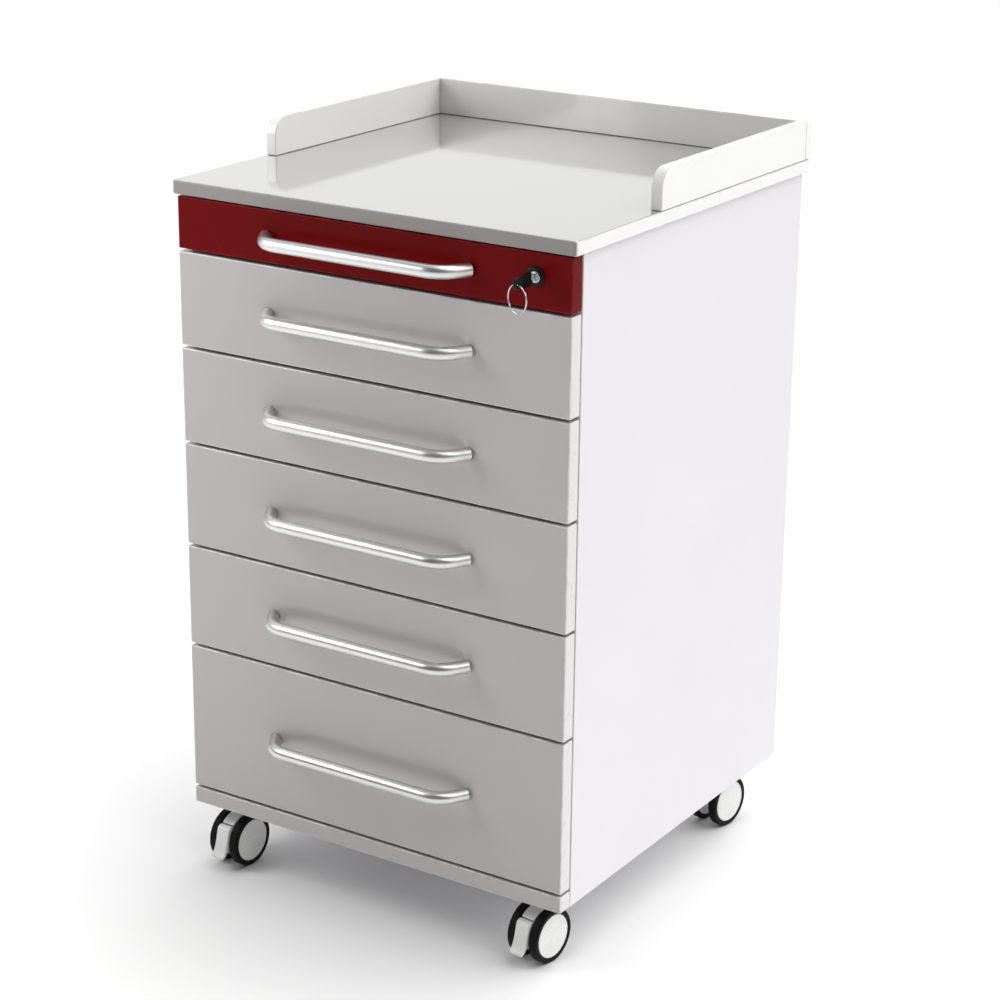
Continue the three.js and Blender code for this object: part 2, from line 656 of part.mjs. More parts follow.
/** The part of an unbraked caster's housing that fills the place of the pedal, in (Y, Z). */
function frontCover() {
  const shape = new THREE.Shape();
  shape.absarc(-TRAIL, WHEEL_RADIUS, BODY_RADIUS, Math.PI, Math.PI - BODY_CROWN - 0.04, true);
  shape.lineTo(-30, 45);
  shape.lineTo(-30, 33);
  return shape;
}

/** A brake pedal: a knuckle at its pivot and a tongue that slopes down and out to its tip. */
function brakePedal() {
  const [y, z] = PEDAL_PIVOT;
  const tongue = outline([
    [y - 5.6, z + 2.1],
    [-48.3, 40],
    [-49.8, 34],
    [-51.5, 28.5],
    [-54.2, 23.5],
    [-57.6, 19.6],
    [-58, 17.6],
    [-56.4, 16.4],
    [-51, 19.5],
    [-47.2, 25],
    [-45, 31],
    [y - 2.5, z - 5.4],
  ]);
  return combine([
    extrudeAcross(tongue, -BODY_HALF_WIDTH, BODY_HALF_WIDTH),
    rod(-BODY_HALF_WIDTH, BODY_HALF_WIDTH, y, z, PEDAL_KNUCKLE, 16),
  ]);
}

function addCasters(cart) {
  for (const { name, side, y, turn, brake } of CASTERS) {
    const caster = new THREE.Group();
    caster.position.set(side * (WIDTH / 2 - STEM_INSET), y, 0);
    caster.rotation.z = THREE.MathUtils.degToRad(turn);
    caster.add(piece(`caster_${name}_body`, casterBody(brake), 'caster_grey'));
    for (const [label, half] of [['left', Math.PI], ['right', 0]]) {
      const rolling = piece(`caster_${name}_wheel_${label}`, wheel(), 'tyre');
      rolling.position.set(0, -TRAIL, WHEEL_RADIUS);
      rolling.rotation.z = half;
      caster.add(rolling);
    }
    if (brake) {
      caster.add(piece(`caster_${name}_pedal`, brakePedal(), 'caster_grey'));
    }
    cart.add(caster);
  }
}

const cart = new THREE.Group();
const levels = drawerLevels();
const lockZ = (levels[0].low + levels[0].high) / 2 + LOCK_RISE;
addWorktop(cart);
addCarcass(cart, lockZ);
addDrawers(cart, levels, lockZ);
addLock(cart, lockZ);
addCasters(cart);

// Centre the whole cart's box over the origin.
const extent = new THREE.Box3().setFromObject(cart, true);
cart.position.y = -(extent.min.y + extent.max.y) / 2;

export default cart;
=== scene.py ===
"""The looks of a mobile instrument cart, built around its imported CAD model.

Metres, +Z up. The drawer fronts face -Y. Each visible piece replaces a CAD node with a finer mesh, or
is that node with a better material, and rides on the node's body.
"""
import json
import math

import bmesh
import bpy
from mathutils import Matrix, Vector


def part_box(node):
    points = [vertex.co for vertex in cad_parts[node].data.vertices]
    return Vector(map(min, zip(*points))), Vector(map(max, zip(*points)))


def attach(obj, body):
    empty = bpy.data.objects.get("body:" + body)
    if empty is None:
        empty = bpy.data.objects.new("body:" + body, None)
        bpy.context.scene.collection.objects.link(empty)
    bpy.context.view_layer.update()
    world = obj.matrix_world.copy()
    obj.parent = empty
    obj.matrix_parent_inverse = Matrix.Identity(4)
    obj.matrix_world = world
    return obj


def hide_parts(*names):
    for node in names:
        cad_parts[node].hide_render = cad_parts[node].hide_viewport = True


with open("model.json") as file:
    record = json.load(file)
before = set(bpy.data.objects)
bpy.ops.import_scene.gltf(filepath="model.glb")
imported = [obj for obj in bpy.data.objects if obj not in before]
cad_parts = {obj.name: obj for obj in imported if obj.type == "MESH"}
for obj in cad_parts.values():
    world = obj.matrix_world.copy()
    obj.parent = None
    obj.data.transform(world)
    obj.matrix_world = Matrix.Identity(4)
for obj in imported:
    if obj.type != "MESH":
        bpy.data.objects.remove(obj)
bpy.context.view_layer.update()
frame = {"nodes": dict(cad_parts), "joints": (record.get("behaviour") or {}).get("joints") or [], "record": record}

MM = 0.001
GAP = 0.2 * MM  # between neighbours that rest on each other
JOINTS = {joint["name"]: joint for joint in frame["joints"]}
OPENINGS = {opening["name"]: opening["box_m"] for opening in frame["record"]["physics"]["openings"]}
DRAWERS = range(1, 7)
CASTERS = ("front_left", "front_right", "rear_left", "rear_right")

# Camera
CAMERA_PLACE = (1.450, -2.235, 1.324)
CAMERA_YAW = 0.570  # to the left of +Y, in radians
CAMERA_PITCH = 0.3292  # downwards
CAMERA_ROLL = 0.011
CAMERA_LENS = 92.03  # mm, on a 36 mm sensor
CAMERA_SENSOR = 36

# Light
SURROUND_FRONT = 0.12  # strength towards -Y
SURROUND_BACK = 0.85  # strength towards +Y
SURROUND_TURN = (-0.7, 0.5)  # the Y of a direction where it starts to brighten, and where it is brightest
DAYLIGHT_HEADING = (-0.45, -0.28, -0.85)
DAYLIGHT_ANGLE = 75  # degrees
DAYLIGHT_STRENGTH = 2.2

# Sizes that the CAD boxes don't say
EDGE_FACING = 0.7  # cosine of how far from a direction a face may look and be in its edge band
BOARD_EDGE = 0.8 * MM
FRONT_EDGE = 1.6 * MM
SLAB_EDGE = 2.2 * MM
SLAB_CORNER = 5 * MM
UPSTAND_CORNER = 20 * MM
UPSTAND_EDGE = 1.2 * MM
BOX_WALL = 12 * MM
BOX_FLOOR = 5 * MM
BOX_SLACK = 0.5 * MM  # between a box's inner faces and the space stated for its contents
RAIL_BELOW = 6 * MM  # from the bottom of a drawer box down to the bottom of its rail
FRONT_SLACK = 0.1 * MM  # more of that slack behind the box's front wall
JOINT_GAP = 0.3 * MM  # between a drawer front and its box
FLOOR_LIFT = 0.8 * MM  # from the underside of a drawer box's walls up to its floor
LOCK_NOTCH = 27 * MM  # from the lock's middle to the side of the top box's notch
HANDLE_RADIUS = 7 * MM
HANDLE_FOOT = 124 * MM
HANDLE_BEND = 107.5 * MM
HANDLE_REACH = 28 * MM
HANDLE_FILLET = 18 * MM
BEND_STEPS = 16
GRIP_STEPS = 12

# Runners: distances across the cabinet are from its middle
RAIL_LIP = 211 * MM
RAIL_SHEET = 2 * MM
RAIL_START = 18.5 * MM  # from the front end of the mounting plate back to the channel
PLATE_BELOW = 3.5 * MM  # from the front roller's axis down to the plate's edge
MEMBER_OUTER = 217.5 * MM
MEMBER_INNER = 209.7 * MM
MEMBER_SHEET = 1.2 * MM
MEMBER_RISE = 9 * MM  # above the underside of the drawer box
MEMBER_FRONT = 22 * MM  # from the box's front back to the member
MEMBER_BACK = 14 * MM  # from the member's end back to the box's
SHEET_EDGE = 0.4 * MM
SMALL_EDGE = 0.3 * MM
ROLLER_RADIUS = 6.5 * MM
ROLLER_EDGE = 0.8 * MM
ROLLER_GROOVE = 0.5 * MM
ROLLER_INNER = 210.6 * MM
ROLLER_OUTER = 217.4 * MM
FRONT_ROLLER_BACK = 10 * MM
FRONT_ROLLER_BELOW = 8.8 * MM
REAR_ROLLER_INSET = 8 * MM
REAR_ROLLER_RISE = 6.8 * MM  # above the channel's lower flange

# Lock and key
LOCK_HOLE = 8.5 * MM
LOCK_DRILL_REACH = 50 * MM
KEY_DRILL_REACH = 10 * MM
KEY_HALF = 1.8 * MM
KEY_EDGE = 0.7 * MM
KEY_HOLE = 2.9 * MM
BLADE_HALF = 0.9 * MM
BLADE_EDGE = 0.15 * MM
KEY_HANG = 1.2 * MM  # from the ring's hinge up to the middle of the key's hole
RING_WIRE = 0.5 * MM
RING_INSET = 0.9 * MM  # from the outside of the CAD ring in to the middle of the wire
RING_COIL_WIDTH = 1.1 * MM
RING_COIL_START = 70  # degrees
RING_COIL_TURN = 690  # degrees
RING_STEPS = 96

# Casters, outlines in mm: heights are from the floor, and lengths run back along the wheels' heading
AXLE_BACK = -18
AXLE_HEIGHT = 30
HOUSING_RADIUS = 29.5
HOUSING_CUT = 10  # round the axle
CROWN_BRAKED = 132  # where the housing's crown ends, in degrees: at the pedal
CROWN_PLAIN = 178

# Casters, in metres
HOUSING_HALF = 8.2 * MM
HOUSING_EDGE = 1.2 * MM
PEDAL_EDGE = 1.0 * MM
STEM_GAP = 0.3 * MM  # from the swivel's plane down to the bearing


# ---------------------------------------------------------------- materials


class Nodes:
    """A short way to add nodes to a material's tree and join them."""

    def __init__(self, material):
        material.use_nodes = True
        self.tree = material.node_tree
        self.shader = self.tree.nodes["Principled BSDF"]

    def add(self, kind, **settings):
        node = self.tree.nodes.new(kind)
        for key, value in settings.items():
            setattr(node, key, value)
        return node

    def join(self, source, target):
        self.tree.links.new(source, target)

    def place(self, stretch=(1, 1, 1)):
        """The place on the piece in its own rest frame, stretched along the axes."""
        coordinates = self.add("ShaderNodeTexCoord")
        mapping = self.add("ShaderNodeMapping")
        mapping.inputs["Scale"].default_value = stretch
        self.join(coordinates.outputs["Object"], mapping.inputs["Vector"])
        return mapping.outputs["Vector"]

    def noise(self, scale, detail=3.0, roughness=0.55, stretch=(1, 1, 1)):
        node = self.add("ShaderNodeTexNoise")
        node.inputs["Scale"].default_value = scale
        node.inputs["Detail"].default_value = detail
        node.inputs["Roughness"].default_value = roughness
        self.join(self.place(stretch), node.inputs["Vector"])
        return node.outputs["Fac"]

    def ranged(self, value, low, high, start=0.3, stop=0.7):
        node = self.add("ShaderNodeMapRange")
        node.inputs["From Min"].default_value = start
        node.inputs["From Max"].default_value = stop
        node.inputs["To Min"].default_value = low
        node.inputs["To Max"].default_value = high
        self.join(value, node.inputs["Value"])
        return node.outputs["Result"]

    def times(self, first, second):
        node = self.add("ShaderNodeMath", operation="MULTIPLY")
        self.join(first, node.inputs[0])
        self.join(second, node.inputs[1])
        return node.outputs["Value"]

    def mixed(self, share, first, second):
        """A colour between two, each a colour or a socket."""
        node = self.add("ShaderNodeMix", data_type="RGBA")
        self.join(share, node.inputs[0])
        for value, socket in ((first, node.inputs[6]), (second, node.inputs[7])):
            if isinstance(value, bpy.types.NodeSocket):
                self.join(value, socket)
            else:
                socket.default_value = (*value, 1)
        return node.outputs[2]

    def bump(self, height, distance, under=None):
        """Relief of some depth, on top of another bump's relief if one is given."""
        node = self.add("ShaderNodeBump")
        node.inputs["Distance"].default_value = distance
        self.join(height, node.inputs["Height"])
        if under is not None:
            self.join(under, node.inputs["Normal"])
        return node.outputs["Normal"]


def shaded(colour, factor):
    return tuple(min(1.0, channel * factor) for channel in colour)


def finish(name, colour, roughness, metallic=0.0, coat=0.0, tone=0.03, tone_scale=6.0, spread=0.05,
           grain_scale=900.0, grain_height=0.01 * MM, wave_height=0.0, stretch=(1, 1, 1), rim=None,
           worn=None, dust=None, specular=0.5, coat_ior=1.5):
    """A material with soft colour drift, uneven gloss, a fine grain, and wear on its edges.

    rim is the colour of a board's rounded edges, worn is the colour of a small part's rubbed edges, and
    dust is the colour that gathers in its hollows.
    """
    material = bpy.data.materials.new(name)
    nodes = Nodes(material)
    shader = nodes.shader
    shader.inputs["Metallic"].default_value = metallic
    shader.inputs["Coat Weight"].default_value = coat
    shader.inputs["Coat Roughness"].default_value = 0.06
    shader.inputs["Coat IOR"].default_value = coat_ior
    shader.inputs["Specular IOR Level"].default_value = specular
    drift = nodes.noise(tone_scale, 2.0)
    base = nodes.mixed(nodes.ranged(drift, 0, 1), shaded(colour, 1 - tone), shaded(colour, 1 + tone))
    fine = nodes.noise(grain_scale, 4.0, 0.6, stretch)
    base = nodes.mixed(nodes.ranged(fine, 0, 0.35, 0.45, 0.75), base, shaded(colour, 1 - 2.2 * tone))
    gloss = nodes.noise(tone_scale * 9, 5.0, 0.6, stretch)
    if rim is not None:
        attribute = nodes.add("ShaderNodeAttribute", attribute_name="rim")
        patchy = nodes.ranged(nodes.noise(60.0, 3.0), 0.15, 0.9, 0.4, 0.65)
        base = nodes.mixed(nodes.times(attribute.outputs["Fac"], patchy), base, rim)
    if worn is not None or dust is not None:
        geometry = nodes.add("ShaderNodeNewGeometry")
        pointed = geometry.outputs["Pointiness"]
        patchy = nodes.ranged(nodes.noise(260.0, 4.0), 0.0, 1.0, 0.42, 0.6)
        if worn is not None:
            share = nodes.times(nodes.ranged(pointed, 0, 0.8, 0.53, 0.62), patchy)
            base = nodes.mixed(share, base, worn)
        if dust is not None:
            base = nodes.mixed(nodes.ranged(pointed, 0.7, 0, 0.38, 0.49), base, dust)
    nodes.join(base, shader.inputs["Base Color"])
    nodes.join(nodes.ranged(gloss, roughness - spread, roughness + spread), shader.inputs["Roughness"])
    normal = nodes.bump(fine, grain_height)
    if wave_height:
        normal = nodes.bump(nodes.noise(45.0, 1.0), wave_height, normal)
    nodes.join(normal, shader.inputs["Normal"])
    return material


LAMINATE = finish("laminate", (0.31, 0.306, 0.294), 0.09, coat=1.0, coat_ior=2.4, specular=0.7,
                  spread=0.03, tone=0.012, grain_scale=1400, grain_height=0.004 * MM,
                  wave_height=0.02 * MM, rim=(0.46, 0.46, 0.445))
UPSTAND_LAMINATE = finish("upstand_laminate", (0.86, 0.855, 0.84), 0.2, coat=0.3, tone=0.012,
                          grain_scale=1400, grain_height=0.004 * MM, rim=(0.64, 0.64, 0.62))
# The slab's front edge band: a grey darker than the slab's sides, as painted shade for the shade its front face
# stands in.
PAINTED_SHADE_FRONT_BAND = finish("front_band", (0.30, 0.282, 0.272), 0.42, specular=0.25, tone=0.02,
                    grain_scale=1400, grain_height=0.004 * MM)
WHITE_BAND = finish("white_band", (0.72, 0.71, 0.70), 0.3, tone=0.01, grain_scale=1100,
                    grain_height=0.002 * MM, specular=0.3)
MELAMINE = finish("melamine", (0.76, 0.745, 0.775), 0.34, tone=0.012, grain_scale=700,
                  grain_height=0.012 * MM, rim=(0.66, 0.65, 0.66))
# Painted shade: the white fronts and the plinth get a grey face for the shade they stand in, while their rounded
# edges (rim) turn patchily towards the lacquer's own white. Their side faces take the white band.
WHITE_LACQUER_PAINTED_SHADE = finish("white_lacquer", (0.485, 0.46, 0.455), 0.22, coat=0.3, tone=0.02, tone_scale=3.5,
                       grain_height=0.003 * MM, wave_height=0.03 * MM, rim=(0.82, 0.81, 0.80))
# Painted shade: the red front's face is a darker red for the shade it stands in, while its rounded edges (rim)
# turn patchily towards a lighter red.
RED_LACQUER_PAINTED_SHADE = finish("red_lacquer", (0.145, 0.0045, 0.005), 0.2, specular=0.04,
                     tone=0.12, tone_scale=3.0, grain_height=0.003 * MM, wave_height=0.03 * MM,
                     rim=(0.26, 0.02, 0.03))
BOX_BOARD = finish("box_board", (0.66, 0.64, 0.60), 0.5, tone=0.03, grain_scale=500,
                   grain_height=0.02 * MM, stretch=(0.15, 0.15, 1), rim=(0.50, 0.46, 0.40))
ALUMINIUM = finish("aluminium", (0.72, 0.72, 0.71), 0.34, metallic=1.0, tone=0.02, tone_scale=20,
                   grain_scale=2200, grain_height=0.004 * MM, stretch=(0.04, 1, 1))
COATED_STEEL = finish("coated_steel", (0.62, 0.62, 0.60), 0.42, metallic=0.0, tone=0.03,
                      grain_scale=1500, grain_height=0.01 * MM, worn=(0.42, 0.42, 0.42))
BRIGHT_STEEL = finish("bright_steel", (0.62, 0.62, 0.63), 0.2, metallic=1.0, tone=0.06, tone_scale=90,
                      grain_scale=2500, grain_height=0.006 * MM, dust=(0.22, 0.2, 0.19))
BLACK_PLASTIC = finish("black_plastic", (0.006, 0.006, 0.006), 0.34, specular=0.2, tone=0.15, tone_scale=60,
                       grain_scale=2600, grain_height=0.02 * MM, worn=(0.05, 0.05, 0.05))
TYRE = finish("tyre", (0.006, 0.0055, 0.0055), 0.55, specular=0.12, tone=0.2, tone_scale=70,
              spread=0.1, grain_scale=1800,
              grain_height=0.03 * MM, worn=(0.02, 0.02, 0.02), dust=(0.03, 0.028, 0.026))
GREY_NYLON = finish("grey_nylon", (0.80, 0.80, 0.785), 0.3, tone=0.03, tone_scale=50, grain_scale=2000,
                    grain_height=0.015 * MM, worn=(0.86, 0.86, 0.84), dust=(0.5, 0.49, 0.47))
CAP_NYLON = finish("cap_nylon", (0.84, 0.84, 0.825), 0.26, tone=0.03, tone_scale=50, grain_scale=2000,
                   grain_height=0.008 * MM, dust=(0.45, 0.44, 0.42))
WHITE_NYLON = finish("white_nylon", (0.78, 0.78, 0.75), 0.4, tone=0.03, tone_scale=60, grain_scale=2000,
                     grain_height=0.01 * MM, dust=(0.5, 0.48, 0.44))


# ---------------------------------------------------------------- mesh helpers


def mesh_piece(name, bm, material, body, nodes=(), smooth=30.0):
    """A bmesh as an object that rides on a body and stands for CAD nodes."""
    bmesh.ops.recalc_face_normals(bm, faces=bm.faces)
    mesh = bpy.data.meshes.new(name)
    bm.to_mesh(mesh)
    bm.free()
    mesh.shade_smooth()
    mesh.set_sharp_from_angle(angle=math.radians(smooth))
    piece = bpy.data.objects.new(name, mesh)
    bpy.context.scene.collection.objects.link(piece)
    mesh.materials.append(material)
    weighted = piece.modifiers.new("weighted_normals", "WEIGHTED_NORMAL")
    weighted.keep_sharp = True
    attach(piece, body)
    if nodes:
        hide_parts(*nodes)
    return piece


def block(low, high):
    """A bmesh box from its lowest to its highest corner."""
    bm = bmesh.new()
    bmesh.ops.create_cube(bm, size=1)
    low, high = Vector(low), Vector(high)
    size = high - low
    bmesh.ops.scale(bm, verts=bm.verts, vec=size)
    bmesh.ops.translate(bm, verts=bm.verts, vec=(low + high) / 2)
    return bm


def rounded(bm, width, segments=3):
    """Rounds a bmesh's sharp edges, and marks what lies inside the rounding as its rim."""
    sharp = [edge for edge in bm.edges if edge.calc_face_angle(0) > math.radians(25)]
    made = bmesh.ops.bevel(bm, geom=sharp, offset=width, segments=segments, profile=0.5, affect="EDGES")
    curved = set(made["faces"])
    rim = bm.verts.layers.float.new("rim")
    for vert in bm.verts:
        vert[rim] = float(all(face in curved for face in vert.link_faces))
    return bm


def banded(bm, directions, index):
    """Gives the faces that look in these directions another of the piece's materials, as an edge band."""
    bm.normal_update()
    for face in bm.faces:
        if any(face.normal.dot(Vector(direction)) > EDGE_FACING for direction in directions):
            face.material_index = index


def extruded(points, low, high):
    """A prism over an outline of (x, y) points, between two heights."""
    bm = bmesh.new()
    bottom = bm.faces.new([bm.verts.new((x, y, low)) for x, y in points])
    top = bmesh.ops.extrude_face_region(bm, geom=[bottom])
    moved = [item for item in top["geom"] if isinstance(item, bmesh.types.BMVert)]
    bmesh.ops.translate(bm, verts=moved, vec=(0, 0, high - low))
    return bm


def turned(profile, segments):
    """A solid turned about Z from (radius, height) points that start and end on the axis."""
    bm = bmesh.new()
    rings = []
    for radius, height in profile:
        if radius < 1e-7:
            rings.append([bm.verts.new((0, 0, height))])
            continue
        angles = [2 * math.pi * i / segments for i in range(segments)]
        rings.append([bm.verts.new((radius * math.cos(a), radius * math.sin(a), height)) for a in angles])
    for first, second in zip(rings, rings[1:]):
        for i in range(segments):
            j = (i + 1) % segments
            corners = [first[i % len(first)], first[j % len(first)], second[j % len(second)],
                       second[i % len(second)]]
            unique = list(dict.fromkeys(corners))
            if len(unique) > 2:
                bm.faces.new(unique)
    return bm


def drill(radius, reach, segments):
    """A cutter about Z that reaches as far on either side of its middle."""
    return turned([(0, -reach), (radius, -reach), (radius, reach), (0, reach)], segments)


def ring_turned(profile, segments):
    """A solid turned about Z from a closed profile that stays clear of the axis."""
    bm = bmesh.new()
    rings = []
    for radius, height in profile:
        angles = [2 * math.pi * i / segments for i in range(segments)]
        rings.append([bm.verts.new((radius * math.cos(a), radius * math.sin(a), height)) for a in angles])
    for first, second in zip(rings, rings[1:] + rings[:1]):
        for i in range(segments):
            j = (i + 1) % segments
            bm.faces.new((first[i], first[j], second[j], second[i]))
    return bm


def in_mm(points):
    """Points given in mm, in metres."""
    return [(first * MM, second * MM) for first, second in points]


def arc(centre, radius, start, stop, steps):
    """Points on an arc, from one angle in degrees to another."""
    points = []
    for i in range(steps + 1):
        angle = math.radians(start + (stop - start) * i / steps)
        points.append((centre[0] + radius * math.cos(angle), centre[1] + radius * math.sin(angle)))
    return points


def rounded_rectangle(width, depth, radius, steps=8):
    x, y = width / 2 - radius, depth / 2 - radius
    corners = ((x, -y, -90), (x, y, 0), (-x, y, 90), (-x, -y, 180))
    return [p for cx, cy, start in corners for p in arc((cx, cy), radius, start, start + 90, steps)]


def swept(points, radius, segments):
    """A round rod along points, closed at both ends."""
    bm = bmesh.new()
    points = [Vector(point) for point in points]
    count = len(points)
    rings = []
    side = None
    for i, point in enumerate(points):
        along = (points[min(i + 1, count - 1)] - points[max(i - 1, 0)]).normalized()
        if side is None:
            side = along.orthogonal().normalized()
        side = (side - along * side.dot(along)).normalized()
        other = along.cross(side)
        ring = []
        for k in range(segments):
            angle = 2 * math.pi * k / segments
            ring.append(bm.verts.new(point + radius * (math.cos(angle) * side + math.sin(angle) * other)))
        rings.append(ring)
    for first, second in zip(rings, rings[1:]):
        for k in range(segments):
            j = (k + 1) % segments
            bm.faces.new((first[k], first[j], second[j], second[k]))
    bm.faces.new(rings[0])
    bm.faces.new(rings[-1])
    return bm


def moved(bm, matrix):
    bmesh.ops.transform(bm, matrix=matrix, verts=bm.verts)
    return bm


def joined(*parts):
    """One bmesh that holds several."""
    whole = bmesh.new()
    for part in parts:
        mesh = bpy.data.meshes.new("part")
        part.to_mesh(mesh)
        part.free()
        whole.from_mesh(mesh)
        bpy.data.meshes.remove(mesh)
    return whole


def cut(piece, bm):
    """Cuts a bmesh away from a piece."""
    mesh = bpy.data.meshes.new("cutter")
    bmesh.ops.recalc_face_normals(bm, faces=bm.faces)
    bm.to_mesh(mesh)
    bm.free()
    cutter = bpy.data.objects.new("cutter", mesh)
    bpy.context.scene.collection.objects.link(cutter)
    piece.modifiers.remove(piece.modifiers["weighted_normals"])
    boolean = piece.modifiers.new("cut", "BOOLEAN")
    boolean.object = cutter
    boolean.operation = "DIFFERENCE"
    bpy.context.view_layer.update()
    evaluated = piece.evaluated_get(bpy.context.evaluated_depsgraph_get())
    result = bpy.data.meshes.new_from_object(evaluated)
    piece.modifiers.remove(boolean)
    piece.data = result
    result.set_sharp_from_angle(angle=math.radians(30))
    bpy.data.objects.remove(cutter)
    weighted = piece.modifiers.new("weighted_normals", "WEIGHTED_NORMAL")
    weighted.keep_sharp = True


SIDEWAYS = [(1, 0, 0), (-1, 0, 0)]
BACKWARDS = (0, 1, 0)
FORWARDS = (0, -1, 0)

# Axes for parts that are drawn in a plane: (Y, Z) outlines run along X, (X, Z) outlines run along Y, and
# turned parts lie along Y.
ALONG_X = Matrix(((0, 0, 1, 0), (1, 0, 0, 0), (0, 1, 0, 0), (0, 0, 0, 1)))
OUTLINE_ALONG_Y = Matrix(((1, 0, 0, 0), (0, 0, 1, 0), (0, 1, 0, 0), (0, 0, 0, 1)))
ALONG_Y = Matrix.Rotation(-math.pi / 2, 4, "X")


# ---------------------------------------------------------------- worktop and cabinet


def make_worktop():
    low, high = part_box("worktop_slab")
    middle = (low + high) / 2
    plan = rounded_rectangle(high.x - low.x, high.y - low.y, SLAB_CORNER)
    # the CAD slab's box ends at its top face in front of the upstands
    slab = rounded(extruded(plan, low.z, high.z), SLAB_EDGE, 4)
    slab = moved(slab, Matrix.Translation((middle.x, middle.y, 0)))
    banded(slab, [*SIDEWAYS, BACKWARDS], 1)
    # the front edge gets the darker band: painted shade
    banded(slab, [FORWARDS], 2)
    piece = mesh_piece("worktop", slab, LAMINATE, "cabinet", ["worktop_slab"])
    piece.data.materials.append(UPSTAND_LAMINATE)
    piece.data.materials.append(PAINTED_SHADE_FRONT_BAND)
    foot = high.z + GAP
    for side in ("left", "right"):
        node = f"upstand_{side}"
        near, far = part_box(node)
        points = [(near.y, foot), (far.y, foot), (far.y, far.z)]
        points += arc((near.y + UPSTAND_CORNER, far.z - UPSTAND_CORNER), UPSTAND_CORNER, 90, 180, 12)
        board = rounded(extruded(points, near.x, far.x), UPSTAND_EDGE)
        mesh_piece(f"{node}_board", moved(board, ALONG_X), UPSTAND_LAMINATE, "cabinet", [node])
    near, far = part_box("upstand_back")
    board = rounded(block((near.x, near.y, foot), far), UPSTAND_EDGE)
    mesh_piece("upstand_back_board", board, UPSTAND_LAMINATE, "cabinet", ["upstand_back"])


def make_carcass():
    for node in ("side_panel_left", "side_panel_right", "back_panel"):
        board = rounded(block(*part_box(node)), BOARD_EDGE)
        mesh_piece(f"{node}_board", board, MELAMINE, "cabinet", [node])
    for node in ("base_panel", "top_rail"):
        frame["nodes"][node].data.materials[0] = MELAMINE
    rail = rounded(block(*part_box("plinth_rail")), FRONT_EDGE)
    # the plinth's face is the grey of painted shade, its ends the white band
    banded(rail, SIDEWAYS, 1)
    piece = mesh_piece("plinth_board", rail, WHITE_LACQUER_PAINTED_SHADE, "cabinet", ["plinth_rail"])
    piece.data.materials.append(WHITE_BAND)


# ---------------------------------------------------------------- drawers


def make_front(number):
    node = f"drawer_front_{number}"
    body = f"drawer_{number}"
    red = number == 1
    board = rounded(block(*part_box(node)), FRONT_EDGE, 4)
    # the white and red faces carry painted shade, and the white fronts' sides get the white band
    if not red:
        banded(board, SIDEWAYS, 1)
    piece = mesh_piece(f"{node}_board", board, RED_LACQUER_PAINTED_SHADE if red else WHITE_LACQUER_PAINTED_SHADE, body, [node])
    if red:
        centre = Vector(JOINTS["key_turn"]["pos_m"])
        cut(piece, moved(drill(LOCK_HOLE, LOCK_DRILL_REACH, 48), Matrix.Translation(centre) @ ALONG_Y))
    else:
        piece.data.materials.append(WHITE_BAND)


def make_handle(number):
    node = f"handle_{number}"
    low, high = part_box(node)
    height = (low.z + high.z) / 2
    face = high.y
    corner = Vector((HANDLE_BEND, face - HANDLE_REACH, height))
    foot = Vector((HANDLE_FOOT, face, height))
    leg = (foot - corner).normalized()
    start = corner - Vector((HANDLE_FILLET, 0, 0))
    stop = corner + leg * HANDLE_FILLET
    right = []
    for i in range(BEND_STEPS + 1):
        t = i / BEND_STEPS
        right.append((1 - t) ** 2 * start + 2 * t * (1 - t) * corner + t * t * stop)
    right += [stop.lerp(foot, share) for share in (0.35, 0.7, 1.0)]
    left = [Vector((-point.x, point.y, point.z)) for point in reversed(right)]
    grip = [left[-1].lerp(right[0], i / GRIP_STEPS) for i in range(1, GRIP_STEPS)]
    rod = swept(left + grip + right, HANDLE_RADIUS, 32)
    for vert in rod.verts:
        vert.co.y = min(vert.co.y, face)
    mesh_piece(f"{node}_rod", rod, ALUMINIUM, f"drawer_{number}", [node], 50)


def make_box(number):
    """A drawer box: four walls with a thin floor standing between them. The top one is notched beside the lock."""
    node = f"drawer_box_{number}"
    body = f"drawer_{number}"
    front_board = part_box(f"drawer_front_{number}")[1].y
    inner_low, inner_high = (Vector(corner) for corner in OPENINGS[f"drawer_{number}_interior"])
    wall = BOX_SLACK + BOX_WALL
    low = Vector((inner_low.x - wall, front_board + JOINT_GAP, inner_low.z - BOX_SLACK - BOX_FLOOR))
    high = Vector((inner_high.x + wall, inner_high.y + wall, inner_high.z))
    x0, x1 = low.x, high.x
    inner_x0 = x0 + BOX_WALL + GAP
    inner_x1 = x1 - BOX_WALL - GAP
    inside_front = inner_low.y - BOX_SLACK - FRONT_SLACK
    walls = [
        block((x0, low.y, low.z), (x0 + BOX_WALL, high.y, high.z)),
        block((inner_x0, high.y - BOX_WALL, low.z), (inner_x1, high.y, high.z)),
    ]
    if number == 1:
        notch = Vector(JOINTS["key_turn"]["pos_m"]).x - LOCK_NOTCH
        walls += [
            block((inner_x0, low.y, low.z), (notch - BOX_WALL - GAP, low.y + BOX_WALL, high.z)),
            block((notch - BOX_WALL, low.y, low.z), (notch, inside_front, high.z)),
            block((notch + GAP, inside_front - BOX_WALL, low.z), (inner_x1, inside_front, high.z)),
            block((x1 - BOX_WALL, inside_front - BOX_WALL, low.z), (x1, high.y, high.z)),
        ]
    else:
        walls += [
            block((inner_x0, low.y, low.z), (inner_x1, low.y + BOX_WALL, high.z)),
            block((x1 - BOX_WALL, low.y, low.z), (x1, high.y, high.z)),
        ]
    boards = joined(*[rounded(board, BOARD_EDGE, 2) for board in walls])
    mesh_piece(f"drawer_walls_{number}", boards, BOX_BOARD, body, [node])
    # the floor stands just inside the walls, as if let into their grooves
    floor = block((inner_x0, inside_front + GAP, low.z + FLOOR_LIFT),
                  (inner_x1, high.y - BOX_WALL - GAP, low.z + BOX_FLOOR))
    mesh_piece(f"drawer_floor_{number}", rounded(floor, SMALL_EDGE, 1), MELAMINE, body)


